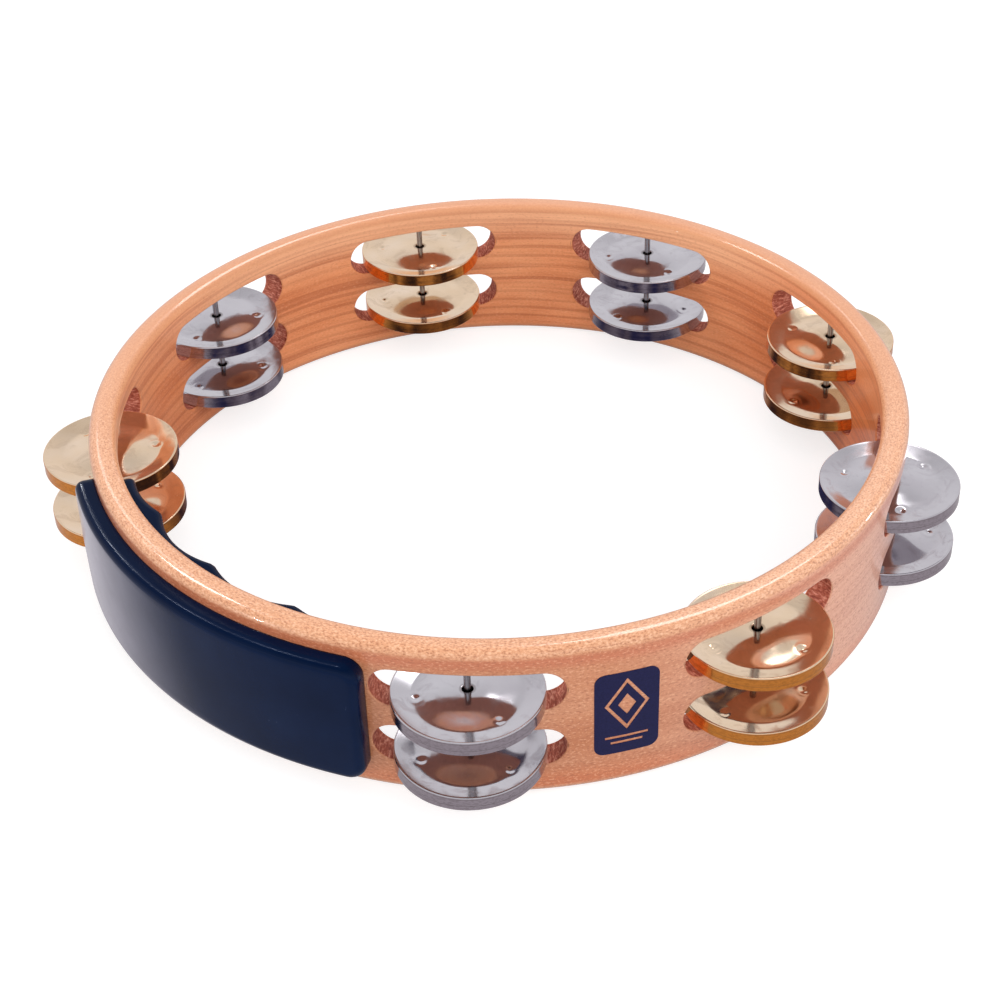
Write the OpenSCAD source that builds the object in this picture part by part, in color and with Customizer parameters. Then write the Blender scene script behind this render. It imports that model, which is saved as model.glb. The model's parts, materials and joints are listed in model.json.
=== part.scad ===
// Double-row hand tambourine: one bent-maple hoop, a two-part moulded grip,
// eight stations round the hoop, and at each station one long pin that
// carries a pair of stamped jingles in a lower slot and a pair in an upper slot.
// Origin: hoop axis at its bottom edge plane. +Z up, grip centred on -Y.
// Units: millimetres.

/* [Hoop] */
// Outer diameter of the hoop
hoop_d = 254; // [252:0.5:258]
// Height of the hoop
hoop_h = 51.6; // [51:0.1:56]
// Wall thickness of the bent wood
wall_t = 8.2; // [7.6:0.1:9]
// Radius of the rounded upper and lower edges
edge_r = 3; // [1.5:0.1:3.2]

/* [Slots] */
// Length of a jingle slot, measured straight across
slot_l = 53.4; // [53:0.1:53.9]
// Height of a jingle slot
slot_h = 13; // [12.4:0.1:13.4]
// Height of the middle of the lower row of slots
low_z = 17.2; // [16.8:0.1:17.6]
// Distance between the middles of the two rows of slots
row_gap = 20; // [19.6:0.1:20.4]
// Angle from one jingle station to the next
station_step = 39.5; // [39:0.1:39.5]

/* [Jingles] */
// Diameter of a jingle
jingle_d = 42.4; // [40:0.1:42.6]
// Height of one jingle, over its turned rim
jingle_h = 2.25; // [2.2:0.05:2.4]
// Thickness of the stamped sheet
sheet_t = 0.6; // [0.4:0.05:0.6]
// Depth of the ring-shaped trough below the rim
dish = 1.3; // [1:0.05:1.4]
// Height of the raised middle above the rim
crown = 0.25; // [0:0.05:0.3]
// Distance of the bottom of the trough from the middle
trough_at = 15; // [13.5:0.25:15.5]
// Diameter of the loose hole on the pin
hole_d = 3.2; // [2.8:0.1:3.6]
// Distance of the three pressed dimples from the middle
dimple_at = 14; // [12:0.5:15]

/* [Pins] */
// Diameter of a pin
pin_d = 2; // [1.8:0.05:2.2]
// Depth of wood left over a pin at both ends
pin_cover = 4.2; // [3.6:0.1:5]

/* [Grip] */
// Half of the angle that the outer pad covers
grip_half = 29.2; // [26:0.1:29.2]
// Half of the angle that the inner pad covers
inner_half = 27.2; // [25:0.1:28]
// Thickness of the outer pad
outer_pad_t = 6.1; // [5:0.1:6.5]
// Greatest thickness of the inner pad, at the finger ridges
inner_pad_t = 6.5; // [5.5:0.1:7]
// Thickness of the inner pad at the bottom of a finger groove
groove_left = 3.5; // [3:0.1:4]
// Angle from one finger ridge to the next
groove_step = 16; // [15:0.5:17]
// Margin of wood above and below the pads
pad_margin = 5.4; // [4.5:0.1:7]
// Radius of the outer pad's upper and lower edges; the front corners get twice this
pad_r = 3; // [2:0.1:3.2]

/* [Label] */
// Width of the printed label along the hoop
label_w = 18.5; // [14:0.5:20]
// Height of the printed label
label_h = 29; // [20:0.5:30]

/* [Hidden] */
$fn = 96;
fit = 0.02;                     // gap between parts that touch
rest_gap = 0.05;                // gap under a jingle at rest

hoop_r = hoop_d / 2;
hoop_inner_r = hoop_r - wall_t;
stations = 8;
slot_z = [low_z, low_z + row_gap];
slot_over = 6;                  // reach of a slot cutter past each wall face

pin_ring_r = hoop_r - wall_t / 2; // radius of the circle the pins stand on

jingle_r = jingle_d / 2;
hole_r = hole_d / 2;
lip_r = 0.5;                    // rounding of a jingle's rim
mouth_cut = 0.1;                // small bevels at the mouth of a jingle
bend_w = 0.4;                   // width of the slanted inner corner under the rim
bend_h = 0.35;                  // height of that corner
dome_power = 1.25;              // above 1 widens the top of the dome
trough_soft = 0.12;             // rounding of the trough where the border starts
face_steps = 40;
dimple_r = 1.9;
dimple_depth = 0.35;

pad_lo = pad_margin;
pad_hi = hoop_h - pad_margin;
pad_h = pad_hi - pad_lo;
front_r = 2 * pad_r;            // pad corners seen from the front
end_r = pad_r + 1;              // upright end edges of the outer pad
inner_edge_r = 2;               // upper and lower edges of the inner pad
ridge_blunt = 0.5;              // groove circles meet this far inside the ridges

label_az = -28.6;
label_z = 26;                   // height of the label's middle
label_t = 0.2;
label_r = 3;                    // corner radius

wood = [0.86, 0.60, 0.42];
navy = [0.05, 0.10, 0.24];
nickel = [0.76, 0.76, 0.80];
gold = [0.86, 0.66, 0.34];
steel = [0.66, 0.67, 0.70];

// direction of a station; they run anticlockwise from above, centred on +Y
function station_az(s) = 90 + station_step * (s - (stations + 1) / 2);

// rectangle with its lower left corner at [x, y] and four rounded corners
module rounded_rect(x, y, w, h, r) {
  translate([x, y + r]) square([w, h - 2 * r]);
  translate([x + r, y]) square([w - 2 * r, h]);
  for (cx = [x + r, x + w - r], cy = [y + r, y + h - r])
    translate([cx, cy]) circle(r);
}

// ---------------------------------------------------------------- hoop

// one slot, both ends half-round, cut straight through the wall
module slot_cut() {
  straight = slot_l - slot_h;
  depth = wall_t + 2 * slot_over;
  start = hoop_inner_r - slot_over;
  translate([start, -straight / 2, -slot_h / 2]) cube([depth, straight, slot_h]);
  for (y = [-straight / 2, straight / 2])
    translate([start, y, 0]) rotate([0, 90, 0]) cylinder(h = depth, d = slot_h);
}

module hoop() {
  color(wood) difference() {
    rotate_extrude($fn = 360) rounded_rect(hoop_inner_r, 0, wall_t, hoop_h, edge_r);
    for (s = [1 : stations]) rotate([0, 0, station_az(s)]) {
      for (z = slot_z) translate([0, 0, z]) slot_cut();
      translate([pin_ring_r, 0, pin_cover])
        cylinder(h = hoop_h - 2 * pin_cover, r = pin_d / 2 + fit);
    }
  }
}

// ---------------------------------------------------------------- pins

module pin(s) {
  color(steel) rotate([0, 0, station_az(s)]) translate([pin_ring_r, 0, pin_cover + fit])
    cylinder(h = hoop_h - 2 * pin_cover - 2 * fit, d = pin_d);
}

// ---------------------------------------------------------------- jingles

// border of the face from trough (t = 0) to rim (t = 1): a soft start, then nearly straight
function border_rise(t) =
  (sqrt(t * t + pow(trough_soft, 2)) - trough_soft)
  / (sqrt(1 + pow(trough_soft, 2)) - trough_soft);

// low dome from the hole down to the trough, t = 0 to 1
function dome_drop(t) = pow(sin(90 * pow(t, dome_power)), 2);

// height of the pressed face above the mouth, at radius r
function face(r) = r < trough_at
  ? jingle_h + crown
    - (dish + crown) * dome_drop(max(0, r - hole_r) / (trough_at - hole_r))
  : jingle_h - dish + dish * border_rise((r - trough_at) / (jingle_r - lip_r - trough_at));

// half section of a jingle with its mouth at z = 0 and its dished face up
module jingle_section() {
  lip_at = jingle_r - lip_r;
  inside_r = jingle_r - sheet_t;
  under_r = inside_r - bend_w;
  mouth = [[inside_r + mouth_cut, 0], [jingle_r - mouth_cut, 0], [jingle_r, mouth_cut]];
  lip = [for (a = [0 : 15 : 90])
    [lip_at + lip_r * cos(a), jingle_h - lip_r + lip_r * sin(a)]];
  top = [for (i = [1 : face_steps])
    let (r = lip_at + (hole_r - lip_at) * i / face_steps) [r, face(r)]];
  underside = [for (i = [0 : face_steps])
    let (r = hole_r + (under_r - hole_r) * i / face_steps) [r, face(r) - sheet_t]];
  inside = [[inside_r, face(under_r) - sheet_t - bend_h], [inside_r, mouth_cut]];
  polygon(concat(mouth, lip, top, underside, inside));
}

// a jingle standing on its mouth, three dimples pressed into its face
module jingle_blank() {
  difference() {
    rotate_extrude($fn = 180) jingle_section();
    for (a = [15, 135, 255]) rotate([0, 0, a])
      translate([dimple_at, 0, face(dimple_at) + dimple_r - dimple_depth])
        sphere(r = dimple_r, $fn = 48);
  }
}

// row 0 is the lower slot; over 0 lies face down, over 1 lies face up on it;
// jingles at odd stations are nickel, at even ones gold
module jingle(s, row, over) {
  turn = 37 * s + 61 * row + 23 * over; // varies where the dimples point
  bottom = slot_z[row] - slot_h / 2 + rest_gap + crown;
  color(s % 2 == 1 ? nickel : gold) rotate([0, 0, station_az(s)])
    translate([pin_ring_r, 0, bottom]) {
      if (over == 0)
        translate([0, 0, jingle_h]) rotate([0, 0, turn]) mirror([0, 0, 1]) jingle_blank();
      else
        translate([0, 0, jingle_h + rest_gap]) rotate([0, 0, turn]) jingle_blank();
    }
}

// ---------------------------------------------------------------- grip

// block that rounds a pad's four corners as seen from the front (-Y); its straight
// edges stand clear of a pad of half angle half and radius r, so only corners are cut
module pad_front(half, r) {
  clear = 0.5;
  x = r * sin(half) + clear;
  rotate([90, 0, 0]) linear_extrude(height = 2 * hoop_r)
    rounded_rect(-x, pad_lo - clear, 2 * x, pad_h + 2 * clear, front_r);
}

// sector of a disc, centred on -Y
module sector(half, r) {
  reach = 2 * hoop_r;
  intersection() {
    circle(r = r, $fn = 360);
    polygon([[0, 0], [-reach * tan(half), -reach], [reach * tan(half), -reach]]);
  }
}

// plan of the outer pad of outer radius pad_outer_r, its two end edges rounded
module pad_plan(pad_outer_r) {
  corner_at = pad_outer_r - end_r;
  corner_half = grip_half - asin(end_r / corner_at);
  clear = 4;
  linear_extrude(height = hoop_h) {
    sector(corner_half, pad_outer_r + clear);
    sector(grip_half, corner_at);
    for (side = [-1, 1]) rotate([0, 0, -90 + side * corner_half])
      translate([corner_at, 0]) circle(end_r);
  }
}

module outer_grip_pad() {
  pad_outer_r = hoop_r + outer_pad_t;
  spare = 4; // extra angle at each end, trimmed off by pad_plan
  color(navy) intersection() {
    rotate([0, 0, -90 - grip_half - spare])
      rotate_extrude(angle = 2 * (grip_half + spare), $fn = 360) {
        translate([hoop_r + fit, pad_lo]) square([outer_pad_t - pad_r, pad_h]);
        translate([hoop_r + fit, pad_lo + pad_r])
          square([outer_pad_t - fit, pad_h - 2 * pad_r]);
        for (z = [pad_lo + pad_r, pad_hi - pad_r])
          translate([pad_outer_r - pad_r, z]) circle(pad_r);
      }
    pad_plan(pad_outer_r);
    pad_front(grip_half, pad_outer_r);
  }
}

// pad inside the hoop, with four upright finger grooves
module inner_grip_pad() {
  ridge_r = hoop_inner_r - inner_pad_t;
  groove_r = hoop_inner_r - groove_left;
  // a groove is the circle through its bottom and the points where it meets its neighbours
  meet_x = (ridge_r - ridge_blunt) * cos(groove_step / 2);
  meet_y = (ridge_r - ridge_blunt) * sin(groove_step / 2);
  sag = groove_r - meet_x;
  cutter_r = (sag * sag + meet_y * meet_y) / (2 * sag);
  color(navy) difference() {
    intersection() {
      rotate([0, 0, -90 - inner_half]) rotate_extrude(angle = 2 * inner_half, $fn = 360) {
        translate([ridge_r, pad_lo + inner_edge_r])
          square([inner_pad_t - fit, pad_h - 2 * inner_edge_r]);
        translate([ridge_r + inner_edge_r, pad_lo])
          square([inner_pad_t - fit - inner_edge_r, pad_h]);
        for (z = [pad_lo + inner_edge_r, pad_hi - inner_edge_r])
          translate([ridge_r + inner_edge_r, z]) circle(inner_edge_r);
      }
      pad_front(inner_half, hoop_inner_r);
    }
    for (i = [-1.5 : 1.5]) rotate([0, 0, -90 + i * groove_step])
      translate([groove_r - cutter_r, 0, -1])
        cylinder(h = hoop_h + 2, r = cutter_r, $fn = 180);
  }
}

// ---------------------------------------------------------------- label

// thin curved band on the hoop, trimmed to a rounded rectangle
module label() {
  half = label_w / 2 / hoop_r * 180 / PI;
  spare = 3;      // extra band on every side, in degrees and in millimetres
  trim_depth = 10;
  color(navy) intersection() {
    rotate([0, 0, label_az - half - spare])
      rotate_extrude(angle = 2 * (half + spare), $fn = 360)
        translate([hoop_r + fit, label_z - label_h / 2 - spare])
          square([label_t, label_h + 2 * spare]);
    rotate([0, 0, label_az]) translate([hoop_r - trim_depth / 2, 0, label_z])
      rotate([90, 0, 90]) linear_extrude(height = trim_depth)
        rounded_rect(-label_w / 2, -label_h / 2, label_w, label_h, label_r);
  }
}

// ---------------------------------------------------------------- drawing

hoop();
outer_grip_pad();
inner_grip_pad();
label();
pin(1);  // pin_1
pin(2);  // pin_2
pin(3);  // pin_3
pin(4);  // pin_4
pin(5);  // pin_5
pin(6);  // pin_6
pin(7);  // pin_7
pin(8);  // pin_8
jingle(1, 0, 0);  // jingle_1_low_under
jingle(1, 0, 1);  // jingle_1_low_over
jingle(1, 1, 0);  // jingle_1_high_under
jingle(1, 1, 1);  // jingle_1_high_over
jingle(2, 0, 0);  // jingle_2_low_under
jingle(2, 0, 1);  // jingle_2_low_over
jingle(2, 1, 0);  // jingle_2_high_under
jingle(2, 1, 1);  // jingle_2_high_over
jingle(3, 0, 0);  // jingle_3_low_under
jingle(3, 0, 1);  // jingle_3_low_over
jingle(3, 1, 0);  // jingle_3_high_under
jingle(3, 1, 1);  // jingle_3_high_over
jingle(4, 0, 0);  // jingle_4_low_under
jingle(4, 0, 1);  // jingle_4_low_over
jingle(4, 1, 0);  // jingle_4_high_under
jingle(4, 1, 1);  // jingle_4_high_over
jingle(5, 0, 0);  // jingle_5_low_under
jingle(5, 0, 1);  // jingle_5_low_over
jingle(5, 1, 0);  // jingle_5_high_under
jingle(5, 1, 1);  // jingle_5_high_over
jingle(6, 0, 0);  // jingle_6_low_under
jingle(6, 0, 1);  // jingle_6_low_over
jingle(6, 1, 0);  // jingle_6_high_under
jingle(6, 1, 1);  // jingle_6_high_over
jingle(7, 0, 0);  // jingle_7_low_under
jingle(7, 0, 1);  // jingle_7_low_over
jingle(7, 1, 0);  // jingle_7_high_under
jingle(7, 1, 1);  // jingle_7_high_over
jingle(8, 0, 0);  // jingle_8_low_under
jingle(8, 0, 1);  // jingle_8_low_over
jingle(8, 1, 0);  // jingle_8_high_under
jingle(8, 1, 1);  // jingle_8_high_over
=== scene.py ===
"""A tambourine: a slotted wooden hoop with sixteen pairs of jingles, a grip and a label.

The hoop lies flat, its axis on Z and its lower edge at z = 0. The grip is centred on -Y and
the eight slot stations are spread evenly about +Y. Shapes are in millimetres and become
metres in make_object; materials, lights and stage are in metres.
"""
import bpy
import bmesh
import json
import math
from types import SimpleNamespace
from mathutils import Matrix, Vector, geometry, noise

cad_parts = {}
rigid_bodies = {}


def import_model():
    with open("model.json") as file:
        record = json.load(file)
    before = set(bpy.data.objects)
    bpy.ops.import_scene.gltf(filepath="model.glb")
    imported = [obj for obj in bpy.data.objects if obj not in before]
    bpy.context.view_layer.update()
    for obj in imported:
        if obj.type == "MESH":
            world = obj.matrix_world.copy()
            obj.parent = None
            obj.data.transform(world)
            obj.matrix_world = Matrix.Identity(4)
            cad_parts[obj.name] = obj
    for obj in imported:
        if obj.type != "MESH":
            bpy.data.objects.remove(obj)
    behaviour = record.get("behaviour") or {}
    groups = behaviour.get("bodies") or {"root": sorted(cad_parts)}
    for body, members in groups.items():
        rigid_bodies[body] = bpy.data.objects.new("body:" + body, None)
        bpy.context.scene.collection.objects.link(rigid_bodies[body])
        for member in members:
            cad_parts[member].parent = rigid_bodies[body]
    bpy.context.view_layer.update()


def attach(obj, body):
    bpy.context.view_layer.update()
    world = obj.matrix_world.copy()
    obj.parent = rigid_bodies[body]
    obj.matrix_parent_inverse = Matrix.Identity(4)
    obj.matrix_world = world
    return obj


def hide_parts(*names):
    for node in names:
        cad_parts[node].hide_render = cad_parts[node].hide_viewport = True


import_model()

MM = 0.001
QUARTER = math.pi / 2

# hoop
HOOP_R, WALL, HOOP_H = 127.0, 8.2, 51.6
EDGE_R = 3.0                            # rounding of the hoop's edges
INNER_R = HOOP_R - WALL
PIN_CIRCLE = HOOP_R - WALL / 2

# slots
SLOT_L, SLOT_H = 53.4, 13.0
SLOT_EDGE = 0.45                        # rounding of the slots' mouths
SLOT_ROWS = [17.2, 37.2]                # heights of the slots' centres, low and high
STATIONS = range(1, 9)
STATION_STEP = 39.5                     # degrees

# jingles
JINGLE_R, JINGLE_H, SHEET = 21.2, 2.25, 0.6
DISH, CROWN, TROUGH_R = 1.3, 0.25, 15.0  # trough depth, dome height, trough radius
HOLE_R = 1.6
REST = 0.05                             # air left where pieces rest on one another
DIMPLES = (15, 135, 255)                # degrees round the jingle
DIMPLE_CIRCLE = 14

# grip pads and label
PAD_LO, PAD_HI = 5.4, HOOP_H - 5.4
OUTER_HALF, INNER_HALF = 29.2, 27.2     # half lengths, degrees
OUTER_T, INNER_T, GROOVE_T = 6.1, 6.5, 3.5  # thicknesses; the last is at the finger grooves
GROOVE_PITCH = 16.0                     # degrees
LAID_GAP = 0.03                         # pads and label stand this far off the wood

CAMERA_TURN = 46.71                     # degrees the camera stands round the hoop from -Y

# for each station, degrees from the camera's right to one dimple of the upper jingle
# in the low and in the high slot
DIMPLE_AT = {
    1: (199, 186), 2: (230, 206), 3: (3, 34), 4: (210, 146),
    5: (339, 178), 6: (187, 171), 7: (0, 6), 8: (35, 13),
}


def radians(degrees):
    return degrees * math.pi / 180.0


def station_angle(station):
    """Degrees from +X; the stations lie evenly on both sides of +Y."""
    return 90.0 + STATION_STEP * (station - 4.5)


def polar(radius, angle, z):
    return (radius * math.cos(angle), radius * math.sin(angle), z)


# ------------------------------------------------------------------ mesh helpers
class Builder:
    """Gathers vertices and faces."""

    def __init__(self):
        self.verts, self.faces = [], []

    def add(self, verts, faces):
        start = len(self.verts)
        self.verts += verts
        self.faces += [tuple(i + start for i in face) for face in faces]

    def rings(self, rings):
        """Quads between successive closed rings of equal length."""
        count = len(rings[0])
        faces = []
        for a in range(len(rings) - 1):
            for i in range(count):
                j = (i + 1) % count
                low, high = a * count, (a + 1) * count
                faces.append((low + i, low + j, high + j, high + i))
        self.add([point for ring in rings for point in ring], faces)


def make_object(name, verts, faces, smooth=True, sharp=None):
    """Welds millimetre vertices, makes normals agree and returns an object in metres."""
    mesh = bpy.data.meshes.new(name)
    mesh.from_pydata([Vector(vert) * MM for vert in verts], [], faces)
    bm = bmesh.new()
    bm.from_mesh(mesh)
    bmesh.ops.remove_doubles(bm, verts=bm.verts, dist=1e-4 * MM)
    bmesh.ops.dissolve_degenerate(bm, edges=bm.edges, dist=1e-9)
    bmesh.ops.recalc_face_normals(bm, faces=bm.faces)
    bm.to_mesh(mesh)
    bm.free()
    for polygon in mesh.polygons:
        polygon.use_smooth = smooth
    if sharp:
        mesh.set_sharp_from_angle(angle=radians(sharp))
    ob = bpy.data.objects.new(name, mesh)
    bpy.context.scene.collection.objects.link(ob)
    return ob


def triangulate(points, loops, keep):
    """Triangulates 2-D points with closed loops as constraints.

    keep(x, y) of a triangle's centre says whether it stays.
    """
    points = [Vector(point) for point in points]
    edges = []
    for loop in loops:
        start, count = len(points), len(loop)
        points += [Vector(point) for point in loop]
        edges += [(start + i, start + (i + 1) % count) for i in range(count)]
    verts, _, faces, _, _, _ = geometry.delaunay_2d_cdt(points, edges, [], 0, 1e-6)
    kept = []
    for face in faces:
        x = sum(verts[i][0] for i in face) / len(face)
        y = sum(verts[i][1] for i in face) / len(face)
        if keep(x, y):
            kept.append(tuple(face))
    return [(vert[0], vert[1]) for vert in verts], kept


def rounded_rect(half_x, half_z, corner, inset, step):
    """Outline of a rounded rectangle moved inward, with points about a step apart."""
    half_x, half_z = half_x - inset, half_z - inset
    corner = max(corner - inset, 0.25)
    flat_x, flat_z = half_x - corner, half_z - corner
    count_x = max(2, int(round(2 * flat_x / step)))
    count_z = max(2, int(round(2 * flat_z / step)))
    corner_steps = 10
    # start of each side, its direction, half length and steps; centre of the corner after it
    sides = [
        ((-flat_x, -half_z), (1, 0), flat_x, count_x, (flat_x, -flat_z)),
        ((half_x, -flat_z), (0, 1), flat_z, count_z, (flat_x, flat_z)),
        ((flat_x, half_z), (-1, 0), flat_x, count_x, (-flat_x, flat_z)),
        ((-half_x, flat_z), (0, -1), flat_z, count_z, (-flat_x, -flat_z)),
    ]
    outline = []
    for turn, (start, way, half, count, centre) in enumerate(sides, -1):
        for i in range(count):
            along = 2 * half * i / count
            outline.append((start[0] + way[0] * along, start[1] + way[1] * along))
        for i in range(corner_steps):
            t = turn * QUARTER + QUARTER * i / corner_steps
            outline.append((centre[0] + corner * math.cos(t), centre[1] + corner * math.sin(t)))
    return outline


def inside_distance(x, z, half_x, half_z, corner):
    """Distance to a rounded rectangle's outline, positive inside it."""
    over_x, over_z = abs(x) - (half_x - corner), abs(z) - (half_z - corner)
    return corner - (math.hypot(max(over_x, 0), max(over_z, 0)) + min(max(over_x, over_z), 0.0))


# ------------------------------------------------------------------ hoop
def slot_outline(widening, side_steps=17, end_steps=16):
    """Round-ended slot as (y, z) about its centre, widened all round."""
    half = (SLOT_L - SLOT_H) / 2
    radius = SLOT_H / 2 + widening
    outline = []
    for way in (1, -1):
        for i in range(side_steps):
            outline.append((way * (-half + 2 * half * i / side_steps), -way * radius))
        for i in range(end_steps):
            t = -way * QUARTER + math.pi * i / end_steps
            outline.append((way * half + radius * math.cos(t), radius * math.sin(t)))
    return outline


def slot_distance(angle, z, radius):
    """Distance on a hoop face to the nearest slot's outline, negative inside a slot."""
    half = (SLOT_L - SLOT_H) / 2
    nearest = 99.0
    for station in STATIONS:
        off = (angle - station_angle(station) + 180) % 360 - 180
        if abs(off) < 16:
            y = radius * math.sin(radians(off))
            for centre in SLOT_ROWS:
                gap = math.hypot(max(abs(y) - half, 0.0), z - centre) - SLOT_H / 2
                nearest = min(nearest, gap)
    return nearest


def add_hoop_face(hoop, radius):
    """One upright face with its slots left open; unrolled, x is arc length at HOOP_R."""
    rows = 22
    z_lo, z_hi = EDGE_R, HOOP_H - EDGE_R
    heights = [z_lo + (z_hi - z_lo) * i / rows for i in range(rows + 1)]
    points = []
    for k in range(361):
        angle = -90.0 + k
        for i, z in enumerate(heights):
            if i in (0, rows) or k in (0, 360) or slot_distance(angle, z, radius) > 1.7:
                points.append((radians(angle) * HOOP_R, z))
    loops = []
    for station in STATIONS:
        middle = radians(station_angle(station)) * HOOP_R
        for centre in SLOT_ROWS:
            for widening in (SLOT_EDGE, SLOT_EDGE + 0.5):
                loops.append([(middle + math.asin(y / radius) * HOOP_R, centre + z)
                              for y, z in slot_outline(widening)])

    def keep(x, z):
        return slot_distance(x / HOOP_R * 180 / math.pi, z, radius) > SLOT_EDGE * 0.55

    verts, faces = triangulate(points, loops, keep)
    hoop.add([polar(radius, x / HOOP_R, z) for x, z in verts], faces)


def add_hoop_rims(hoop):
    """The rounded upper and lower edges."""
    steps = 9
    arc = [QUARTER * i / steps for i in range(steps + 1)]
    top = HOOP_H - EDGE_R
    profile = [(HOOP_R - EDGE_R + EDGE_R * math.cos(t), top + EDGE_R * math.sin(t)) for t in arc]
    profile.append((HOOP_R - WALL / 2, HOOP_H))
    profile += [(INNER_R + EDGE_R + EDGE_R * math.cos(QUARTER + t),
                 top + EDGE_R * math.sin(QUARTER + t)) for t in arc]
    for lower in (False, True):
        hoop.rings([[polar(radius, radians(-90 + k), HOOP_H - z if lower else z)
                     for k in range(360)] for radius, z in profile])


def slot_sections():
    """Sections through a slot from outside to inside: (widening, x as a function of y)."""
    def on_circle(radius):
        return lambda y: math.sqrt(radius ** 2 - y * y)

    turns = [QUARTER * i / 4 for i in range(5)]
    mouth = [(SLOT_EDGE * (1 - math.sin(t)), SLOT_EDGE * (1 - math.cos(t))) for t in turns]
    sections = [(widening, on_circle(HOOP_R - sunk)) for widening, sunk in mouth]
    outer, inner = on_circle(HOOP_R - SLOT_EDGE), on_circle(INNER_R + SLOT_EDGE)
    for i in range(1, 6):
        sections.append((0, lambda y, u=i / 6.0: (1 - u) * outer(y) + u * inner(y)))
    sections += [(widening, on_circle(INNER_R + sunk)) for widening, sunk in reversed(mouth)]
    return sections


def add_slot_walls(hoop):
    sections = slot_sections()
    for station in STATIONS:
        angle = radians(station_angle(station))
        ca, sa = math.cos(angle), math.sin(angle)
        for centre in SLOT_ROWS:
            hoop.rings([[(depth(y) * ca - y * sa, depth(y) * sa + y * ca, centre + z)
                         for y, z in slot_outline(widening)] for widening, depth in sections])


def build_hoop():
    hoop = Builder()
    add_hoop_face(hoop, HOOP_R)
    add_hoop_face(hoop, INNER_R)
    add_hoop_rims(hoop)
    add_slot_walls(hoop)
    ob = make_object("hoop_wood", hoop.verts, hoop.faces)
    # mark the vertices of the slot walls for the wood material
    mark = ob.data.attributes.new("slotwall", "FLOAT", "POINT")
    for i, vert in enumerate(ob.data.vertices):
        radius = math.hypot(vert.co.x, vert.co.y) / MM
        z = vert.co.z / MM
        in_wall = INNER_R + 0.3 < radius < HOOP_R - 0.3
        mark.data[i].value = float(in_wall and EDGE_R + 0.5 < z < HOOP_H - EDGE_R - 0.5)
    return ob


# ------------------------------------------------------------------ jingles
def face_height(r):
    """Pressed face of a jingle above its mouth: low dome, trough, rising border."""
    if r < TROUGH_R:
        u = max(0.0, r - HOLE_R) / (TROUGH_R - HOLE_R)
        return JINGLE_H + CROWN - (DISH + CROWN) * math.sin(QUARTER * u ** 1.25) ** 2
    u = (r - TROUGH_R) / (JINGLE_R - 0.5 - TROUGH_R)
    soft = 0.12                         # rounds the start of the rise
    rise = (math.sqrt(u * u + soft ** 2) - soft) / (math.sqrt(1 + soft ** 2) - soft)
    return JINGLE_H - DISH + DISH * rise


def jingle_profile(mouth):
    """Closed half section (radius, z) with its mouth at the given height, face up."""
    lip = 0.40
    lip_out = JINGLE_R - 0.03
    skirt = lip_out - 0.006
    bore = JINGLE_R - SHEET
    # skirt and rolled lip
    profile = [(bore + 0.04, mouth), (skirt, mouth), (skirt, 0.5), (skirt, 1.0),
               (skirt, JINGLE_H - 0.50)]
    for i in range(9):
        t = radians(13.0 * i)
        profile.append((lip_out - lip + lip * math.cos(t), JINGLE_H - lip + lip * math.sin(t)))
    # face, from the lip in to the hole
    start, steps = profile[-1][0], 44
    for i in range(1, steps + 1):
        r = start + (HOLE_R + 0.16 - start) * i / steps
        profile.append((r, face_height(r)))
    # edge of the hole
    top = face_height(HOLE_R)
    profile += [(HOLE_R + 0.05, top - 0.07), (HOLE_R, top - 0.2), (HOLE_R, top - 0.42),
                (HOLE_R + 0.06, top - SHEET + 0.06), (HOLE_R + 0.2, top - SHEET)]
    # back of the face, then the inner corner and the bore
    back_end, steps = JINGLE_R - SHEET - 0.8, 22
    for i in range(1, steps + 1):
        r = HOLE_R + 0.2 + (back_end - HOLE_R - 0.2) * i / steps
        profile.append((r, face_height(r) - SHEET))
    back_z = face_height(back_end) - SHEET
    for i in range(1, 5):
        t = QUARTER * i / 4
        profile.append((back_end + (bore - back_end) * math.sin(t),
                        back_z - 0.6 * (1 - math.cos(t))))
    return profile + [(bore, 0.6), (bore, mouth + 0.05)]


def worked_point(r, z, t, seed):
    """A profile point turned to angle t, with dimples and hand-made unevenness."""
    x, y = r * math.cos(t), r * math.sin(t)
    face_end = JINGLE_R - 1.1
    if r < face_end:
        for dimple in DIMPLES:
            angle = radians(dimple)
            off = math.hypot(x - DIMPLE_CIRCLE * math.cos(angle),
                             y - DIMPLE_CIRCLE * math.sin(angle))
            if off < 2.8:
                # a pit with a raised ring about it
                z += (-0.36 * math.exp(-(off / 0.9) ** 2)
                      + 0.09 * math.exp(-((off - 1.7) / 0.55) ** 2))
        fade = min(1.0, (face_end - r) / 4.0)
        ripple = noise.noise(Vector((x * 0.11, y * 0.11, 0)) + seed)
        z += 0.10 * fade * min(1.0, (r - HOLE_R) / 4.0) * ripple
    if r > JINGLE_R - 0.9:
        around = Vector((3.2 * math.cos(t), 3.2 * math.sin(t), 0.4 * z))
        r += 0.035 * (noise.noise(around + seed) - 0.4)
    return polar(r, t, z)


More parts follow.
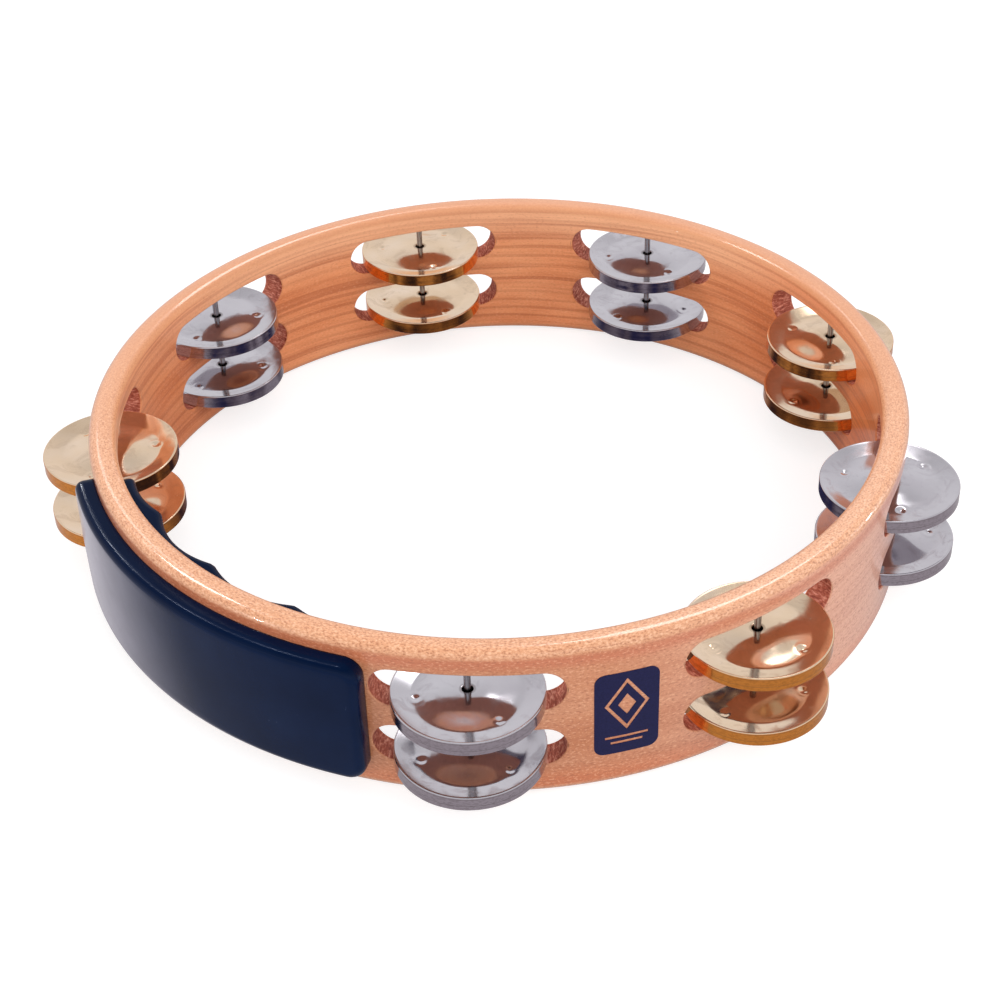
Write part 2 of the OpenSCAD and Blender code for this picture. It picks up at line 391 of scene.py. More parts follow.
def build_jingle(name, station, row, over):
    """The upper jingle of a pair (over) has its face up, the lower one its face down."""
    segments = 144
    number = station * 4 + row * 2 + over
    seed = Vector((number * 3.17, number * 1.31, number * 0.77))
    if over:
        turn = DIMPLE_AT[station][row] + CAMERA_TURN - DIMPLES[0]
    else:
        turn = station_angle(station) + 37 * station + 61 * row
    rings = [[worked_point(r, z, 2 * math.pi * k / segments, seed) for k in range(segments)]
             for r, z in jingle_profile(-0.03 if over else 0.0)]
    rings.append(rings[0])
    jingle = Builder()
    jingle.rings(rings)
    ct, st = math.cos(radians(turn)), math.sin(radians(turn))
    verts = [(x * ct - y * st, x * st + y * ct, z if over else JINGLE_H - z)
             for x, y, z in jingle.verts]
    ob = make_object(name, verts, jingle.faces, sharp=50)
    base = SLOT_ROWS[row] - SLOT_H / 2 + REST + CROWN + (JINGLE_H + REST if over else 0)
    ob.location = Vector(polar(PIN_CIRCLE, radians(station_angle(station)), base)) * MM
    return ob


# ------------------------------------------------------------------ pins
def build_pin(name, station):
    """A wire pin of 1 mm radius, pointed below and blunt above, with faint ridges."""
    low, high = 4.22, HOOP_H - 4.22
    ridge = 0.004
    profile = [(0.0, low), (0.28, low + 0.05), (0.62, low + 0.9), (0.98, low + 2.4),
               (1.0, low + 3.0)]
    z = low + 3.0
    while z < high - 1.2:
        z += 0.75
        profile.append((1.0 + (ridge if int(z * 2) % 2 else -ridge), z))
    profile += [(1.0, high - 0.22), (0.93, high - 0.07), (0.78, high), (0.0, high)]
    segments = 28
    pin = Builder()
    pin.rings([[polar(r, 2 * math.pi * k / segments, z) for k in range(segments)]
               for r, z in profile])
    ob = make_object(name, pin.verts, pin.faces)
    ob.location = Vector(polar(PIN_CIRCLE, radians(station_angle(station)), 0)) * MM
    return ob


# ------------------------------------------------------------------ grip pads
def build_pad(name, half_angle, base_r, side, corner, edge_r, thickness):
    """A pad on a hoop face of radius base_r; side is 1 outside and -1 inside the hoop.

    x runs along the hoop from the middle of the grip, z up from the pad's middle;
    thickness(x, z) is the pad's, and edge_r rounds the edges of its free face.
    """
    half_x = radians(half_angle) * base_r
    half_z, mid_z = (PAD_HI - PAD_LO) / 2, (PAD_LO + PAD_HI) / 2
    outline_step, grid_step = 1.6, 1.5

    def inside(x, z):
        return inside_distance(x, z, half_x, half_z, corner)

    def keep(x, z):
        return inside(x, z) > 1e-4

    def place(x, z, height):
        return polar(base_r + side * (LAID_GAP + height), radians(-90) + x / base_r, mid_z + z)

    def face(x, z):
        depth = max(inside(x, z), 0.0)
        full = thickness(x, z)
        if depth >= edge_r:
            return full
        rounding = min(edge_r, full * 0.8)
        q = 1 - depth / edge_r
        return full - rounding + rounding * math.sqrt(max(1 - q * q, 0.0))

    outline = rounded_rect(half_x, half_z, corner, 0, outline_step)
    points = []
    count_x, count_z = int(2 * half_x / grid_step), int(2 * half_z / grid_step)
    for i in range(count_x + 1):
        for k in range(count_z + 1):
            x = -half_x + 2 * half_x * i / count_x
            z = -half_z + 2 * half_z * k / count_z
            if inside(x, z) > edge_r + 0.7:
                points.append((x, z))
    loops = [outline]
    for share in (0.06, 0.16, 0.3, 0.46, 0.64, 0.82, 1.0):
        loops.append(rounded_rect(half_x, half_z, corner, edge_r * share, outline_step))
    pad = Builder()
    verts, faces = triangulate(points, loops, keep)
    pad.add([place(x, z, face(x, z)) for x, z in verts], faces)
    # side wall down to the wood, then the back
    pad.rings([[place(x, z, face(x, z) * share) for x, z in outline]
               for share in (1.0, 0.72, 0.45, 0.2, 0.0)])
    verts, faces = triangulate(points, [outline], keep)
    pad.add([place(x, z, 0.0) for x, z in verts], faces)
    return make_object(name, pad.verts, pad.faces)


def inner_thickness(x, _z):
    """Four finger grooves: scallops with softened ridges between them."""
    def scallop(x):
        degrees = x / INNER_R * 180 / math.pi
        groove = round(degrees / GROOVE_PITCH - 0.5) + 0.5
        groove = max(-1.5, min(1.5, groove))
        off = (degrees - groove * GROOVE_PITCH) / (GROOVE_PITCH / 2)
        return GROOVE_T + (INNER_T - GROOVE_T) * min(1.0, abs(off)) ** 2.0

    # weighted mean of nine neighbours along the hoop
    total = weights = 0.0
    for i in range(-4, 5):
        weight = math.exp(-(i / 2.2) ** 2)
        total += weight * scallop(x + i * 0.45)
        weights += weight
    return min(INNER_T - 0.05, total / weights)


def outer_thickness(_x, z):
    """Slightly crowned across its height."""
    return OUTER_T - 0.06 - 0.25 * (z / 20.0) ** 2


# ------------------------------------------------------------------ label
def diamond(centre_z, half_x, half_z, steps=6):
    corners = [(-half_x, centre_z), (0, centre_z - half_z),
               (half_x, centre_z), (0, centre_z + half_z)]
    outline = []
    for i in range(4):
        (x0, z0), (x1, z1) = corners[i], corners[(i + 1) % 4]
        outline += [(x0 + (x1 - x0) * k / steps, z0 + (z1 - z0) * k / steps)
                    for k in range(steps)]
    return outline


def bar(z, half_x, half_z):
    return [(-half_x, z - half_z), (0, z - half_z), (half_x, z - half_z),
            (half_x, z + half_z), (0, z + half_z), (-half_x, z + half_z)]


def build_label():
    """A thin printed film with a diamond ring, a diamond and two bars left open."""
    half_x, half_z, corner = 9.25, 14.5, 3.0
    mid_z, mid_angle, film = 26.0, radians(-28.6), 0.1
    diamond_z = 3.0
    big, middle, small = (6.4, 9.2), (5.2, 7.5), (2.6, 3.7)  # half width, half height
    bars = [(-8.6, 6.2, 0.42), (-10.6, 4.6, 0.42)]  # height, half width, half height

    def inside(x, z):
        return inside_distance(x, z, half_x, half_z, corner)

    def printed(x, z):
        def within(size):
            return abs(x) / size[0] + abs(z - diamond_z) / size[1] < 1
        if within(big) and not within(middle):
            return False
        if within(small):
            return False
        for bar_z, bar_x, bar_half in bars:
            if abs(z - bar_z) < bar_half and abs(x) < bar_x:
                return False
        return inside(x, z) > 1e-4

    def place(x, z, height):
        return polar(HOOP_R + LAID_GAP + height, mid_angle + x / HOOP_R, mid_z + z)

    loops = [rounded_rect(half_x, half_z, corner, inset=0, step=1.2)]
    loops += [diamond(diamond_z, *size) for size in (big, middle, small)]
    loops += [bar(*entry) for entry in bars]
    points = [(-half_x + 2 * half_x * i / 16, -half_z + 2 * half_z * k / 24)
              for i in range(17) for k in range(25)]
    points = [point for point in points if inside(*point) > 0.4]
    verts, kept = triangulate(points, loops, printed)

    used = sorted({i for face in kept for i in face})
    index = {vert: k for k, vert in enumerate(used)}
    faces = [tuple(index[i] for i in face) for face in kept]
    label = Builder()
    label.add([place(*verts[i], film) for i in used], faces)
    label.add([place(*verts[i], 0) for i in used], [tuple(reversed(face)) for face in faces])
    # walls along open edges
    uses = {}
    for face in faces:
        for i in range(3):
            edge = tuple(sorted((face[i], face[(i + 1) % 3])))
            uses[edge] = uses.get(edge, 0) + 1
    under = len(used)
    for (i, k), count in uses.items():
        if count == 1:
            label.faces.append((i, k, k + under, i + under))
    return make_object("label_print", label.verts, label.faces, smooth=False)


# ------------------------------------------------------------------ shader helpers
def srgb(*channels):
    """Linear colour from 8-bit sRGB."""
    def linear(c):
        c /= 255.0
        return c / 12.92 if c <= 0.04045 else ((c + 0.055) / 1.055) ** 2.4
    return tuple(linear(c) for c in channels) + (1.0,)


def shade(colour, *factors):
    return tuple(c * factor for c, factor in zip(colour, factors)) + (1.0,)


class Graph:
    """Builds shader nodes; a value may be a socket, which is linked, or a constant."""

    def __init__(self, tree):
        self.tree = tree

    def put(self, socket, value):
        if isinstance(value, bpy.types.NodeSocket):
            self.tree.links.new(value, socket)
        else:
            socket.default_value = value

    def node(self, kind, inputs=None, **settings):
        node = self.tree.nodes.new(kind)
        for key, value in settings.items():
            setattr(node, key, value)
        for key, value in (inputs or {}).items():
            self.put(node.inputs[key], value)
        return node

    def math(self, operation, a, b=0.0):
        return self.node("ShaderNodeMath", {0: a, 1: b, 2: 0.0}, operation=operation).outputs[0]

    def add(self, a, b):
        return self.math("ADD", a, b)

    def sub(self, a, b):
        return self.math("SUBTRACT", a, b)

    def mul(self, a, b):
        return self.math("MULTIPLY", a, b)

    def max(self, a, b):
        return self.math("MAXIMUM", a, b)

    def abs(self, a):
        return self.math("ABSOLUTE", a)

    def length(self, x, y):
        return self.math("SQRT", self.add(self.mul(x, x), self.mul(y, y)))

    def rightward(self, x, y):
        """Distance to the camera's right."""
        turn = radians(CAMERA_TURN)
        return self.add(self.mul(x, math.cos(turn)), self.mul(y, math.sin(turn)))

    def toward(self, x, y):
        """Distance towards the camera."""
        turn = radians(CAMERA_TURN)
        return self.sub(self.mul(x, math.sin(turn)), self.mul(y, math.cos(turn)))

    def coords(self, output="Object"):
        return self.node("ShaderNodeTexCoord").outputs[output]

    def light_path(self, output):
        return self.node("ShaderNodeLightPath").outputs[output]

    def geometry(self, output):
        return self.node("ShaderNodeNewGeometry").outputs[output]

    def separate(self, vector):
        return self.node("ShaderNodeSeparateXYZ", {"Vector": vector}).outputs

    def noise(self, vector, scale=1.0, detail=2.0, rough=0.5, distortion=0.0):
        return self.node("ShaderNodeTexNoise", {
            "Vector": vector, "Scale": scale, "Detail": detail, "Roughness": rough,
            "Distortion": distortion}).outputs[0]

    def noise_along(self, *axes, **settings):
        """Noise over three axes, each a value, (value, scale) or (value, scale, offset)."""
        parts = []
        for axis in axes:
            if isinstance(axis, tuple):
                value, scale, *offsets = axis
                axis = self.mul(value, scale)
                for offset in offsets:
                    axis = self.add(axis, offset)
            parts.append(axis)
        vector = self.node("ShaderNodeCombineXYZ", dict(enumerate(parts))).outputs[0]
        return self.noise(vector, **settings)

    def step(self, value, over, gives=(0.0, 1.0)):
        """Smooth passage between two results as the value crosses a range."""
        inputs = {0: value, 1: over[0], 2: over[1], 3: gives[0], 4: gives[1]}
        return self.node("ShaderNodeMapRange", inputs,
                         interpolation_type="SMOOTHSTEP").outputs[0]

    def mix(self, amount, base, tint):
        return self.node("ShaderNodeMix", {0: amount, 6: base, 7: tint},
                         data_type="RGBA").outputs[2]

    def mix_shader(self, amount, a, b):
        return self.node("ShaderNodeMixShader", {0: amount, 1: a, 2: b}).outputs[0]

    def ramp(self, value, stops):
        """Stops are (position, colour)."""
        node = self.node("ShaderNodeValToRGB", {0: value})
        elements = node.color_ramp.elements
        while len(elements) > 1:
            elements.remove(elements[-1])
        elements[0].position, elements[0].color = stops[0]
        for position, colour in stops[1:]:
            elements.new(position).color = colour
        return node.outputs[0]

    def bump(self, height, strength, distance):
        return self.node("ShaderNodeBump", {
            "Strength": strength, "Distance": distance, "Height": height}).outputs[0]


class Material(Graph):
    def __init__(self, name):
        self.material = bpy.data.materials.new(name)
        self.material.use_nodes = True
        super().__init__(self.material.node_tree)
        self.tree.nodes.clear()

    def finish(self, surface):
        self.node("ShaderNodeOutputMaterial", {0: surface})
        return self.material

    def principled(self, inputs):
        return self.finish(self.node("ShaderNodeBsdfPrincipled", inputs).outputs[0])


# ------------------------------------------------------------------ wood
def wood_places(m):
    """Coordinates and masks of the hoop."""
    x, y, z = m.separate(m.coords())
    angle = m.math("ARCTAN2", x, y)     # zero at +Y, so the seam lies under the grip
    arc = m.mul(angle, HOOP_R * MM)
    r = m.length(x, y)
    inner = m.step(r, over=(0.1192, 0.1206), gives=(1.0, 0.0))
    top = m.step(z, over=(0.0484, 0.0500))
    bottom = m.step(z, over=(0.0016, 0.0032), gives=(1.0, 0.0))
    rim = m.max(top, bottom)
    slot = m.node("ShaderNodeAttribute", attribute_name="slotwall").outputs["Fac"]
    # height with a slow wander, so that the grain lines are not dead level
    wander = m.noise_along((arc, 8.0), (z, 9.0), 0.0, rough=0.45)
    grain_z = m.add(z, m.mul(m.sub(wander, 0.5), 0.009))
    return SimpleNamespace(x=x, y=y, z=z, angle=angle, arc=arc, r=r, inner=inner, rim=rim,
                           slot=slot, grain_z=grain_z)


def wood_base(m, at):
    """Broad tone of the outer and inner faces, with painted light and shade on the inner face."""
    tone = m.noise_along((at.arc, 16.0), (at.grain_z, 70.0), (at.r, 90.0),
                         detail=3.0, rough=0.55)
    outer = m.ramp(tone, [(0.25, srgb(183, 111, 70)), (0.5, srgb(199, 131, 92)),
                          (0.78, srgb(211, 149, 112))])
    inner = m.ramp(tone, [(0.25, srgb(204, 118, 72)), (0.5, srgb(227, 148, 101)),
                          (0.78, srgb(239, 168, 121))])
    # painted light and shade: the inner face is painted paler near the top and deeper at the
    # camera's right and left
    inner = m.mix(m.step(at.z, over=(0.034, 0.048), gives=(0.0, 0.55)),
                  inner, srgb(248, 196, 156))
    side = m.rightward(at.x, at.y)
    inner = m.mix(m.step(side, over=(0.075, 0.112), gives=(0.0, 0.6)),
                  inner, srgb(212, 106, 46))
    inner = m.mix(m.step(side, over=(-0.090, -0.112), gives=(0.0, 0.45)),
                  inner, srgb(196, 112, 68))
    return m.mix(at.inner, outer, inner)


def wood_lines(m, at):
    """Growth lines, thin and long, stronger on the inner face."""
    line = m.noise_along((at.arc, 3.2), (at.grain_z, 360.0), (at.r, 60.0),
                         detail=3.0, rough=0.6)
    loose = m.step(line, over=(0.52, 0.66))
    # close, nearly even lines that come and go
    wobble = m.noise_along((at.arc, 6.0), (at.z, 60.0), 3.0)
    even = m.math("SINE", m.add(m.mul(at.grain_z, 1650.0), m.mul(wobble, 9.0)))
    presence = m.noise_along((at.arc, 4.0), (at.grain_z, 110.0), 9.0)
    even = m.mul(m.step(even, over=(0.15, 0.95)), m.step(presence, over=(0.32, 0.62)))
    loose = m.mul(loose, m.add(m.mul(at.inner, 0.30), 0.16))
    return m.max(loose, m.mul(even, m.add(m.mul(at.inner, 0.26), 0.16)))


def wood_bands(m, at, colour, lines):
    """Broad tints of the outer face; the paler, pinker stretch is painted light."""
    # a paler, pinker stretch at the camera's right: painted light on the lit side
    off = m.abs(m.sub(at.angle, 1.40))
    painted_lit_stretch = m.step(off, over=(0.25, 0.75), gives=(0.62, 0.0))
    painted_lit_stretch = m.mul(painted_lit_stretch, m.sub(1.0, m.mul(lines, 1.6)))
    colour = m.mix(m.mul(painted_lit_stretch, m.sub(1.0, at.inner)), colour, srgb(232, 178, 154))
    # redder bands under the upper edge and above the lower one
    off = m.abs(m.sub(at.grain_z, 0.0468))
    upper = m.step(off, over=(0.0, 0.0036), gives=(0.72, 0.0))
    colour = m.mix(m.mul(upper, m.sub(1.0, at.inner)), colour, srgb(196, 112, 78))
    lower = m.step(at.grain_z, over=(0.010, 0.003), gives=(0.0, 0.45))
    return m.mix(m.mul(lower, m.sub(1.0, at.inner)), colour, srgb(214, 116, 70))


def wood_flecks(m, at, colour, fleck):
    """Light and dark flecks of cut fibre, fainter on the inner face."""
    light = m.step(fleck, over=(0.54, 0.68))
    dark = m.step(fleck, over=(0.46, 0.32))
    share = m.sub(1.0, m.mul(at.inner, 0.6))
    colour = m.mix(m.mul(m.mul(light, 0.34), share), colour, srgb(246, 198, 160))
    return m.mix(m.mul(m.mul(dark, 0.58), share), colour, srgb(160, 94, 66))


def wood_rim(m, at):
    """End fibres: paler and speckled, more so towards the camera; away from the camera the rim is
    painted darker, painted shade.
    """
    speck = m.noise_along((at.arc, 1250.0), (at.z, 2000.0), (at.r, 2000.0), rough=0.55)
    near = m.step(m.toward(at.x, at.y), over=(-0.06, 0.05), gives=(0.35, 1.0))
    light = m.mul(m.mul(m.step(speck, over=(0.52, 0.66)), 0.5), near)
    colour = m.mix(light, srgb(216, 157, 116), srgb(249, 210, 176))
    dark = m.mul(m.mul(m.step(speck, over=(0.48, 0.34)), 0.75), near)
    colour = m.mix(dark, colour, srgb(158, 94, 58))
    # painted shade: the rim is darker away from the camera
    return m.mix(m.mul(m.sub(1.0, near), 0.85), colour, srgb(200, 134, 94))


def wood_slot(m, striation):
    """Scorched slot walls, painted paler in glossy rays: painted light, so that the metal mirrors
    them brighter than their shade.
    """
    colour = m.ramp(striation, [(0.3, srgb(122, 50, 36)), (0.5, srgb(176, 92, 70)),
                                (0.7, srgb(226, 158, 134))])
    # painted light: the slot walls are paler in reflections
    return m.mix(m.mul(m.light_path("Is Glossy Ray"), 0.7), colour, srgb(240, 176, 150))


def wood_material():
    m = Material("maple_lacquered")
    at = wood_places(m)
    fine = m.noise_along((at.arc, 45.0), (at.grain_z, 1500.0), (at.r, 900.0),
                         detail=3.0, rough=0.6)
    fleck = m.noise_along((at.arc, 900.0), (at.z, 1700.0), (at.r, 1700.0), rough=0.6)
    striation = m.noise_along((at.arc, 1500.0), (at.z, 1500.0), (at.r, 500.0),
                              detail=3.0, rough=0.7)
    lines = wood_lines(m, at)
    colour = m.mix(lines, wood_base(m, at), srgb(162, 80, 50))
    colour = wood_bands(m, at, colour, lines)
    colour = m.mix(m.mul(m.step(fine, over=(0.45, 0.75)), 0.18), colour, srgb(176, 100, 70))
    colour = wood_flecks(m, at, colour, fleck)
    colour = m.mix(m.mul(at.rim, 0.75), colour, wood_rim(m, at))
    colour = m.mix(at.slot, colour, wood_slot(m, striation))

    # lacquer is bare in the slots and thin on the inner face
    coat = m.mul(m.sub(0.75, m.mul(at.slot, 0.75)), m.sub(1.0, m.mul(at.inner, 0.72)))
    coat_rough = m.noise_along((at.arc, 60.0), (at.z, 60.0), (at.r, 60.0))
    swell = m.noise_along((at.arc, 55.0), (at.z, 90.0), (at.r, 90.0), detail=1.0)
    coat_relief = m.add(swell, m.mul(fleck, 0.12))
    relief = m.add(m.mul(fleck, 1.0), m.mul(fine, 0.6))
    relief = m.add(relief, m.mul(m.mul(striation, at.slot), 4.0))
    return m.principled({
        "Base Color": colour,
        "Roughness": m.add(m.mul(fine, 0.10), m.add(0.26, m.mul(at.slot, 0.4))),
        "Specular IOR Level": m.sub(0.5, m.mul(at.inner, 0.38)),
        "Coat Weight": coat,
        "Coat Roughness": m.add(0.02, m.mul(coat_rough, 0.06)),
        "Normal": m.bump(relief, strength=0.35, distance=0.00012),
        "Coat Normal": m.bump(coat_relief, strength=0.2, distance=0.0002),
    })


# ------------------------------------------------------------------ other materials
def metal_material(name, dark, middle, light, skirt, rough, painted_reflection_tint=None):
    """Polished jingle metal with painted reflection: the optional warm tint colours what faces up
    and mirrors low directions, and the upright skirt gets a colour of its own.
    """
    m = Material(name)
    co = m.coords()
    shift = m.mul(m.node("ShaderNodeObjectInfo").outputs["Random"], 7.0)
    x, y, z = m.separate(co)
    r = m.length(x, y)
    cloud = m.noise_along((x, 60.0, shift), (y, 60.0), (z, 60.0), detail=3.0, rough=0.55)
    colour = m.ramp(cloud, [(0.2, dark), (0.5, middle), (0.8, light)])
    # faint turning rings, and sparse fine scratches in two directions
    rings = m.noise_along((r, 4200.0), shift, 0.0)
    scratch = {"detail": 4.0, "rough": 0.7, "distortion": 1.2}
    scratch_a = m.noise_along((x, 420.0, shift), (y, 60.0), 0.0, **scratch)
    scratch_b = m.noise_along((x, 60.0), (y, 460.0, shift), 0.0, **scratch)
    marks = m.max(m.step(scratch_a, over=(0.66, 0.72)), m.step(scratch_b, over=(0.67, 0.73)))
    # painted shade in a thin dark line round the skirt, and darker about the hole
    line = m.step(m.abs(m.sub(z, 0.00169)), over=(0.0, 0.00016), gives=(0.8, 0.0))
    line = m.mul(line, m.step(r, over=(0.0209, 0.0211)))
    shade_line_and_hole_ring = m.max(line, m.step(r, over=(0.0019, 0.0026), gives=(0.8, 0.0)))
    up = m.separate(m.geometry("True Normal"))[2]
    level = m.abs(up)
    # painted reflection: a warm tint where the surface mirrors low directions
    if painted_reflection_tint:
        mirrored_z = m.separate(m.coords("Reflection"))[2]
        low = m.step(mirrored_z, over=(0.02, 0.16), gives=(0.9, 0.0))
        colour = m.mix(m.mul(low, m.step(up, over=(-0.6, -0.2))), colour, painted_reflection_tint)
    smudge = m.noise_along((x, 170.0, shift), (y, 170.0), (z, 500.0),
                           detail=4.0, rough=0.62, distortion=0.8)
    colour = m.mix(m.mul(m.step(smudge, over=(0.50, 0.68)), 0.22),
                   colour, shade(dark, 0.62, 0.58, 0.60))
    # painted reflection: the upright skirt gets its own colour, with darker patches, for what it
    # mirrors
    wall_reflection_patches = m.noise_along((x, 900.0, shift), (y, 900.0), (z, 1500.0), detail=3.0, rough=0.6)
    side = m.mix(m.mul(m.step(wall_reflection_patches, over=(0.44, 0.62)), 0.35),
                 skirt, shade(skirt, 0.55, 0.52, 0.50))
    colour = m.mix(m.step(level, over=(0.15, 0.75), gives=(1.0, 0.0)), colour, side)
    # painted shade line round the skirt, and the darker ring about the hole
    colour = m.mix(m.mul(shade_line_and_hole_ring, 0.6), colour, shade(dark, 0.25, 0.2, 0.18))

    roughness = m.add(rough, m.mul(cloud, 0.05))
    roughness = m.add(roughness, m.mul(marks, 0.10))
    roughness = m.add(roughness, m.step(smudge, over=(0.46, 0.66), gives=(0.0, 0.10)))
    relief = m.add(m.mul(rings, 0.5), m.mul(marks, -0.4))
    return m.principled({
        "Base Color": colour,
        "Metallic": 1.0,
        "Roughness": roughness,
        "Normal": m.bump(relief, strength=0.12, distance=0.00004),
    })


def steel_material():
    """Drawn wire, streaked lengthwise."""
    m = Material("pin_wire")
    x, y, z = m.separate(m.coords())
    streak = m.noise_along((x, 3000.0), (y, 3000.0), (z, 120.0), detail=3.0, rough=0.6)
    return m.principled({
        "Base Color": m.ramp(streak, [(0.3, srgb(120, 116, 118)), (0.7, srgb(196, 194, 198))]),
        "Metallic": 1.0,
        "Roughness": m.add(0.14, m.mul(streak, 0.14)),
        "Normal": m.bump(streak, strength=0.2, distance=0.00005),
    })


def grip_material():
    """Navy moulded rubber."""
    m = Material("grip_moulded")
    co = m.coords()
    cloud = m.noise(co, scale=55.0, detail=3.0)
    fine = m.noise(co, scale=2600.0, rough=0.6)
    colour = m.ramp(cloud, [(0.25, srgb(1, 16, 44)), (0.6, srgb(3, 22, 53)),
                            (0.85, srgb(7, 28, 60))])
    wear = m.noise(co, scale=240.0, detail=5.0, rough=0.7, distortion=0.6)
    wear = m.step(wear, over=(0.66, 0.78))
    colour = m.mix(m.mul(wear, 0.25), colour, srgb(62, 74, 104))
    # painted sheen on upright surfaces seen edge-on and facing the camera's left
    facing = m.node("ShaderNodeLayerWeight", {"Blend": 0.5}).outputs["Facing"]
    normal = m.geometry("True Normal")
    up = m.separate(normal)[2]
    normal_x, normal_y, _ = m.separate(normal)
    turn = radians(CAMERA_TURN)
    left = m.add(m.mul(normal_x, -math.cos(turn)), m.mul(normal_y, -math.sin(turn)))
    painted_sheen = m.mul(m.step(facing, over=(0.52, 1.0), gives=(0.0, 0.90)),
                  m.step(up, over=(0.05, 0.45), gives=(1.0, 0.0)))
    painted_sheen = m.mul(painted_sheen, m.step(left, over=(0.3, 0.7)))
    painted_sheen = m.mul(painted_sheen, m.add(0.75, m.mul(cloud, 0.5)))
    colour = m.mix(painted_sheen, colour, (0.50, 0.47, 0.54, 1.0))
    # painted shade: surfaces that face up are painted darker, and they are duller
    colour = m.mix(m.step(up, over=(0.15, 0.60), gives=(0.0, 0.65)), colour, srgb(0, 9, 32))
    return m.principled({
        "Base Color": colour,
        "Specular IOR Level": m.step(up, over=(0.30, 0.80), gives=(0.26, 0.07)),
        "Roughness": m.add(0.16, m.add(m.mul(cloud, 0.08), m.mul(wear, 0.12))),
        "Specular Tint": (0.55, 0.68, 1.0, 1.0),
        "Normal": m.bump(fine, strength=0.10, distance=0.00006),
    })


def label_material():
    m = Material("label_ink")
    mottle = m.noise(m.coords(), scale=1900.0, rough=0.6)
    return m.principled({
        "Base Color": m.ramp(mottle, [(0.3, srgb(12, 14, 56)), (0.7, srgb(22, 24, 70))]),
        "Roughness": m.add(0.25, m.mul(mottle, 0.2)),
        "Specular IOR Level": 0.3,
        "Normal": m.bump(mottle, strength=0.1, distance=0.00004),
    })


def floor_reflection(m, co):
    """How the floor shows in reflections, painted as an emission: painted shade, dim and patchy
    with dark bluish patches, inside the hoop; pale outside, and dimmer towards the camera.
    """
    x, y, _ = m.separate(co)
    toward = m.toward(x, y)
    side = m.rightward(x, y)
    distance = m.length(x, y)
    front = m.step(m.add(toward, m.mul(side, 0.45)), over=(-0.10, 0.12))
    patch = m.noise(co, scale=26.0)
    outside = m.ramp(front, [(0.0, (0.60, 0.58, 0.60, 1)), (1.0, (0.50, 0.48, 0.50, 1))])
    inside = m.ramp(patch, [(0.42, (0.030, 0.030, 0.085, 1)), (0.50, (0.13, 0.11, 0.14, 1)),
                            (0.60, (0.36, 0.34, 0.38, 1))])
    colour = m.mix(m.step(distance, over=(0.10, 0.135)), inside, outside)
    return m.node("ShaderNodeEmission", {"Color": colour, "Strength": 1.0}).outputs[0]


def floor_material():
    """White paper that looks burnt-out white to the camera."""
    m = Material("floor_pale")
    co = m.coords()
    cloud = m.noise(co, scale=3.0)

    def paper(low, high):
        colour = m.ramp(cloud, [(0.3, low), (0.7, high)])
        return m.node("ShaderNodeBsdfDiffuse", {"Color": colour}).outputs[0]

    lit = paper((0.80, 0.79, 0.79, 1), (0.82, 0.81, 0.81, 1))
    seen = paper((0.50, 0.50, 0.50, 1), (0.51, 0.51, 0.51, 1))
    white = m.node("ShaderNodeEmission", {"Color": (1, 1, 1, 1), "Strength": 0.70}).outputs[0]
    seen = m.node("ShaderNodeAddShader", {0: seen, 1: white}).outputs[0]
    mirrored = floor_reflection(m, co)
    path = m.node("ShaderNodeLightPath").outputs
    surface = m.mix_shader(path["Is Glossy Ray"], lit, mirrored)
    surface = m.mix_shader(path["Is Camera Ray"], surface, seen)
    # from below the sheet is clear, so that the underside can be looked at
    clear = m.node("ShaderNodeBsdfTransparent").outputs[0]
    return m.finish(m.mix_shader(m.geometry("Backfacing"), surface, clear))


# ------------------------------------------------------------------ pieces
WOOD = wood_material()
# the skirt colours and the brass's warm tint are painted reflection colours
NICKEL = metal_material(
    "jingle_nickel", dark=srgb(200, 195, 202), middle=srgb(208, 204, 210),
    light=srgb(217, 214, 220), skirt=srgb(186, 176, 184), rough=0.09)
BRASS = metal_material(
    "jingle_brass", dark=srgb(236, 206, 172), middle=srgb(243, 216, 186),
    light=srgb(248, 225, 202), skirt=srgb(244, 158, 74), rough=0.08, painted_reflection_tint=srgb(252, 176, 98))
STEEL = steel_material()
GRIP = grip_material()
LABEL = label_material()


def finish_piece(ob, material, body, node):
    ob.data.materials.append(material)
    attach(ob, body)
    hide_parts(node)


finish_piece(build_hoop(), WOOD, "hoop_body", "hoop")
outer_pad = build_pad("outer_pad", OUTER_HALF, HOOP_R, side=1.0, corner=5.4, edge_r=2.7,
                      thickness=outer_thickness)
finish_piece(outer_pad, GRIP, "hoop_body", "outer_grip_pad")
inner_pad = build_pad("inner_pad", INNER_HALF, INNER_R, side=-1.0, corner=4.0, edge_r=2.0,
                      thickness=inner_thickness)
finish_piece(inner_pad, GRIP, "hoop_body", "inner_grip_pad")
finish_piece(build_label(), LABEL, "hoop_body", "label")
for s in STATIONS:
    finish_piece(build_pin(f"pin_wire_{s}", s), STEEL, "hoop_body", f"pin_{s}")
# nickel at odd stations, brass at even ones
for s in STATIONS:
    metal = NICKEL if s % 2 else BRASS
    for row, row_name in enumerate(("low", "high")):
        for over, over_name in enumerate(("under", "over")):
            place_name = f"{s}_{row_name}_{over_name}"
            node = "jingle_" + place_name
            jingle = build_jingle("disc_" + place_name, s, row, over)
            finish_piece(jingle, metal, node, node)


# ------------------------------------------------------------------ floor and world
def build_floor():
    mesh = bpy.data.meshes.new("floor")
    bm = bmesh.new()
    bmesh.ops.create_grid(bm, x_segments=8, y_segments=8, size=3.0)
    bm.to_mesh(mesh)
    bm.free()
    floor = bpy.data.objects.new("floor", mesh)
    floor.location = (0, 0, -0.0004)
    bpy.context.scene.collection.objects.link(floor)
    floor.data.materials.append(floor_material())


